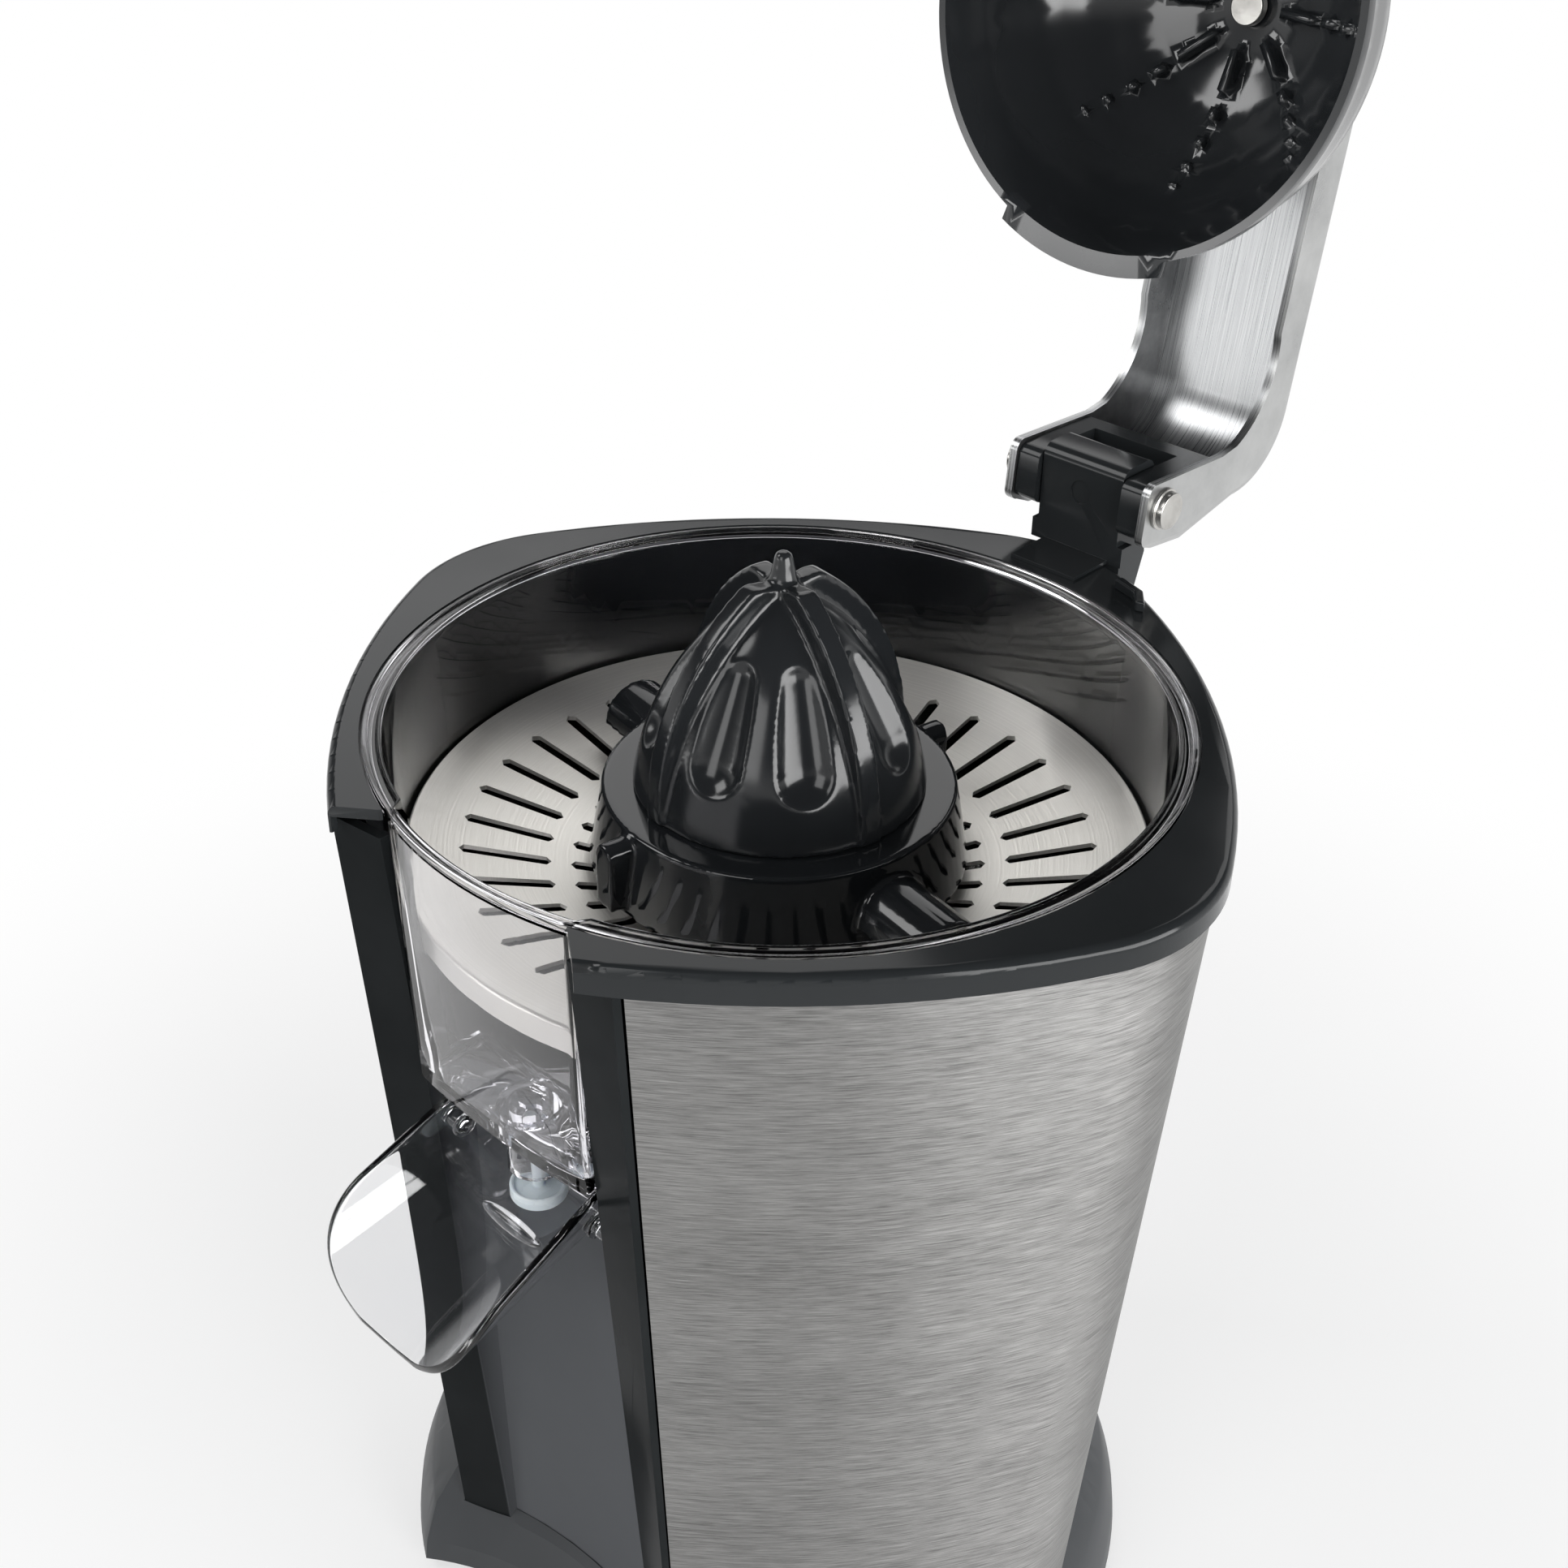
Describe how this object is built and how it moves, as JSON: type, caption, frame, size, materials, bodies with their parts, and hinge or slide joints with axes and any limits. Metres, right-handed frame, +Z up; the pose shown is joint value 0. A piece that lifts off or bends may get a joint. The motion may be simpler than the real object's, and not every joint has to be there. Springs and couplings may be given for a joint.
{
  "type": "citrus press juicer",
  "caption": "Upright citrus press with a folding lever arm and press dome over a ribbed reamer in a clear bowl, a tilting spout at the front and a tapered steel-clad body.",
  "frame": {"origin": "middle of the whole press, arm open, on the surface that it stands on", "axes": "+Z up, -Y towards the spout, +X to the right as seen from the spout side"},
  "size_m": [0.2018, 0.2894, 0.4372],
  "materials": {
    "gloss_black": "glossy moulded black plastic",
    "satin_black": "satin moulded black plastic",
    "brushed_steel": "brushed stainless sheet",
    "clear_plastic": "clear moulded plastic",
    "satin_aluminium": "satin aluminium",
    "polished_steel": "turned steel",
    "zinc_steel": "plated steel",
    "rotor_iron": "laminated iron with windings",
    "gear_plastic": "natural moulded plastic",
    "bearing_bronze": "sintered bronze",
    "black_rubber": "soft black rubber",
    "valve_plastic": "milky soft plastic"
  },
  "bodies": {
    "housing": {"base_shell": "satin_black", "bottom_cover": "satin_black", "rubber_feet": "black_rubber", "base_screws": "zinc_steel", "steel_jacket": "brushed_steel", "front_panel": "satin_black", "top_deck": "gloss_black", "juice_bowl": "clear_plastic", "sieve": "brushed_steel", "hinge_post": "satin_black", "bowl_catches": "satin_black", "gear_plate": "zinc_steel", "gear_posts": "zinc_steel", "idler_axle": "polished_steel", "motor_can": "zinc_steel", "motor_cap": "satin_black", "motor_field": "rotor_iron", "spindle_bush": "bearing_bronze", "spindle_seal": "black_rubber", "micro_switch": "satin_black", "switch_bracket": "zinc_steel"},
    "press": {"press_collar": "gear_plastic", "switch_button": "satin_black"},
    "spindle": {"drive_spindle": "polished_steel", "drive_flange": "gear_plastic", "spindle_clips": "polished_steel", "output_gear": "gear_plastic", "sweeper_ring": "gloss_black", "reamer_cone": "gloss_black"},
    "idler": {"idler_gears": "gear_plastic"},
    "rotor": {"motor_shaft": "polished_steel", "motor_pinion": "polished_steel", "motor_core": "rotor_iron", "cooling_fan": "gear_plastic"},
    "arm": {"lever_arm": "satin_aluminium", "arm_liner": "satin_black", "hinge_pin": "polished_steel", "arm_grip": "satin_black", "press_dome": "gloss_black", "dome_screw": "polished_steel"},
    "spout": {"spout_scoop": "clear_plastic"},
    "valve": {"valve_plug": "valve_plastic"}
  },
  "joints": [
    {"name": "press_travel", "type": "slide", "parent": "housing", "child": "press", "axis": [0, 0, -1], "range_m": [0, 0.0015], "stiffness_N_per_m": 4000, "springref_m": -0.0015},
    {"name": "reamer_spin", "type": "hinge", "parent": "press", "child": "spindle", "pos_m": [0, -0.03432, 0.2], "axis": [0, 0, 1], "continuous": true},
    {"name": "idler_spin", "type": "hinge", "parent": "housing", "child": "idler", "pos_m": [0, -0.00397, 0.13], "axis": [0, 0, 1], "continuous": true},
    {"name": "motor_spin", "type": "hinge", "parent": "housing", "child": "rotor", "pos_m": [0, -0.03432, 0.09], "axis": [0, 0, 1], "continuous": true},
    {"name": "arm_fold", "type": "hinge", "parent": "housing", "child": "arm", "pos_m": [0, 0.06968, 0.254], "axis": [1, 0, 0], "range_deg": [0, 98.6]},
    {"name": "spout_tilt", "type": "hinge", "parent": "housing", "child": "spout", "pos_m": [0, -0.10682, 0.1584], "axis": [-1, 0, 0], "range_deg": [0, 32]},
    {"name": "valve_lift", "type": "slide", "parent": "housing", "child": "valve", "axis": [0, 0, 1], "range_m": [0, 0.0051]}
  ],
  "couplings": [
    {"joint": "reamer_spin", "follows": "motor_spin", "ratio": 0.14286},
    {"joint": "idler_spin", "follows": "motor_spin", "ratio": -0.33333},
    {"joint": "valve_lift", "follows": "spout_tilt", "m_per_rad": 0.009131}
  ]
}
